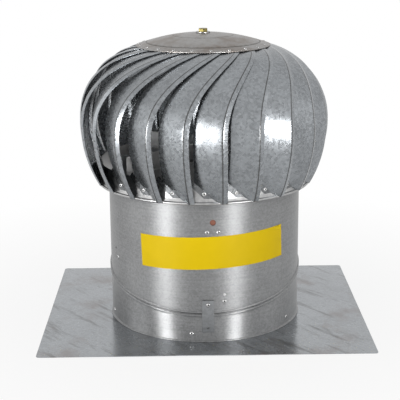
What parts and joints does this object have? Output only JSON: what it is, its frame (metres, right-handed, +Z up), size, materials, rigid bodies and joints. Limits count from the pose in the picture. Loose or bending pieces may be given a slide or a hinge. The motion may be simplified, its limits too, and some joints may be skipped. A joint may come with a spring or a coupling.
{
  "type": "roof turbine ventilator",
  "caption": "Wind-driven roof ventilator: bulb-shaped rotor of folded vanes on a shaft, over a two-part swivelling duct throat on a flat flashing plate.",
  "frame": {"origin": "centre of the flashing plate's underside, on the duct axis", "axes": "+Z up along the duct and rotor axis, +X along the plate's long side, -Y towards the front, where the lock strap and the label are"},
  "size_m": [0.5, 0.4, 0.4532],
  "materials": {
    "plate_sheet": "dull galvanised sheet, mottled and scratched",
    "throat_sheet": "bright galvanised sheet",
    "rivets": "satin",
    "label": "plain yellow printed film",
    "primed_steel": "red-brown primer",
    "plated_steel": "yellow-passivated zinc",
    "bright_steel": "bright drawn steel",
    "rotor_sheet": "galvanised sheet with fine spangle",
    "brace_sheet": "dull galvanised steel",
    "hub_steel": "turned steel",
    "bush_bronze": "oil-filled bronze",
    "dome_sheet": "dull warm-grey galvanised sheet"
  },
  "bodies": {
    "base": {"base_plate": "plate_sheet", "base_collar": "plate_sheet", "lower_throat": "throat_sheet", "base_rivets": "rivets"},
    "throat": {"upper_throat": "throat_sheet", "seam_clips": "throat_sheet", "lock_strap": "throat_sheet", "throat_rivets": "rivets", "label_band": "label", "bracket_arm_1": "primed_steel", "bracket_arm_2": "primed_steel", "bracket_arm_3": "primed_steel", "bracket_hub": "primed_steel", "hub_screws": "plated_steel", "shaft": "bright_steel", "shaft_nuts": "plated_steel", "thrust_button": "bright_steel"},
    "rotor": {"rotor_ring": "rotor_sheet", "vane_01": "rotor_sheet", "vane_02": "rotor_sheet", "vane_03": "rotor_sheet", "vane_04": "rotor_sheet", "vane_05": "rotor_sheet", "vane_06": "rotor_sheet", "vane_07": "rotor_sheet", "vane_08": "rotor_sheet", "vane_09": "rotor_sheet", "vane_10": "rotor_sheet", "vane_11": "rotor_sheet", "vane_12": "rotor_sheet", "vane_13": "rotor_sheet", "vane_14": "rotor_sheet", "vane_15": "rotor_sheet", "vane_16": "rotor_sheet", "vane_17": "rotor_sheet", "vane_18": "rotor_sheet", "vane_19": "rotor_sheet", "vane_20": "rotor_sheet", "vane_21": "rotor_sheet", "vane_22": "rotor_sheet", "vane_rivets": "rivets", "brace_arm_1": "brace_sheet", "brace_arm_2": "brace_sheet", "brace_arm_3": "brace_sheet", "brace_arm_4": "brace_sheet", "brace_rivets": "rivets", "brace_plate_lower": "brace_sheet", "brace_plate_upper": "brace_sheet", "brace_hub": "hub_steel", "lower_bush": "bush_bronze", "top_plate": "brace_sheet", "bearing_housing": "hub_steel", "top_bush": "bush_bronze", "housing_rivets": "rivets", "dome_cap": "dome_sheet", "dome_washer": "plated_steel", "dome_bolt": "plated_steel"}
  },
  "joints": [
    {"name": "pitch_swivel", "type": "hinge", "parent": "base", "child": "throat", "pos_m": [0, 0, 0.0828], "axis": [0, -0.2588, 0.9659], "range_deg": [0, 180]},
    {"name": "rotor_spin", "type": "hinge", "parent": "throat", "child": "rotor", "pos_m": [0, 0, 0.3], "axis": [0, 0, 1], "continuous": true}
  ]
}
